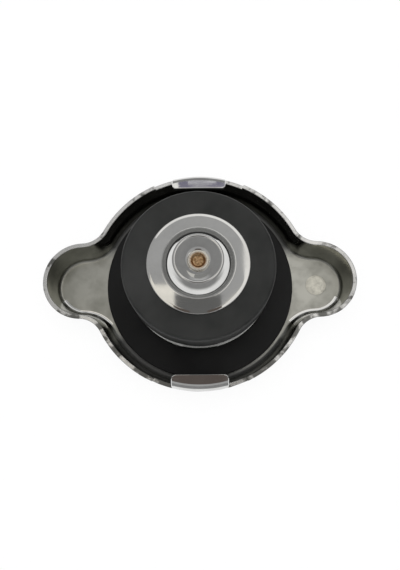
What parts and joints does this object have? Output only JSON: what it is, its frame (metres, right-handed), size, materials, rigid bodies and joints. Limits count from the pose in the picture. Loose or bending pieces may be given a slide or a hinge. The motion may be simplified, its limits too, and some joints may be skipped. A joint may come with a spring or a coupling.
{
  "type": "radiator cap",
  "caption": "Pressed metal radiator filler cap with grip ears, folded locking lugs, a neck gasket, and a spring-loaded pressure seal with a domed vacuum valve.",
  "frame": {"origin": "middle of the flat top's outer face, on which the cap lies", "axes": "+X through the ear with the round stamp, +Z from the flat top towards the valves"},
  "size_m": [0.066, 0.0464, 0.023],
  "materials": {
    "shell_plate": "bright plating, satin inside the ears",
    "zinc_steel": "zinc plated sheet steel",
    "cup_steel": "dark plated sheet steel",
    "spring_steel": "drawn wire",
    "black_rubber": "moulded rubber, slightly satin",
    "polished_plate": "polished pressed plate",
    "stem_brass": "dull brass with brown tarnish in the dimple"
  },
  "bodies": {
    "shell": {"cap_shell": "shell_plate", "centre_rivet": "zinc_steel"},
    "guide": {"spring_guide": "zinc_steel", "spring_disc": "zinc_steel", "neck_gasket": "black_rubber", "pressure_spring": "spring_steel"},
    "plunger": {"valve_cup": "cup_steel", "pressure_seal": "black_rubber", "vacuum_spring": "spring_steel"},
    "vacuum": {"vacuum_plate": "polished_plate", "valve_stem": "stem_brass", "spring_keeper": "zinc_steel"}
  },
  "joints": [
    {"name": "guide_swivel", "type": "hinge", "parent": "shell", "child": "guide", "pos_m": [0, 0, 0.002], "axis": [0, 0, 1], "continuous": true},
    {"name": "pressure_press", "type": "slide", "parent": "guide", "child": "plunger", "axis": [0, 0, -1], "range_m": [0, 0.004], "stiffness_N_per_m": 5000, "springref_m": -0.004, "deforming": ["pressure_spring"]},
    {"name": "vacuum_pull", "type": "slide", "parent": "plunger", "child": "vacuum", "axis": [0, 0, 1], "range_m": [0, 0.0015], "stiffness_N_per_m": 150, "springref_m": -0.002, "deforming": ["vacuum_spring"]}
  ]
}
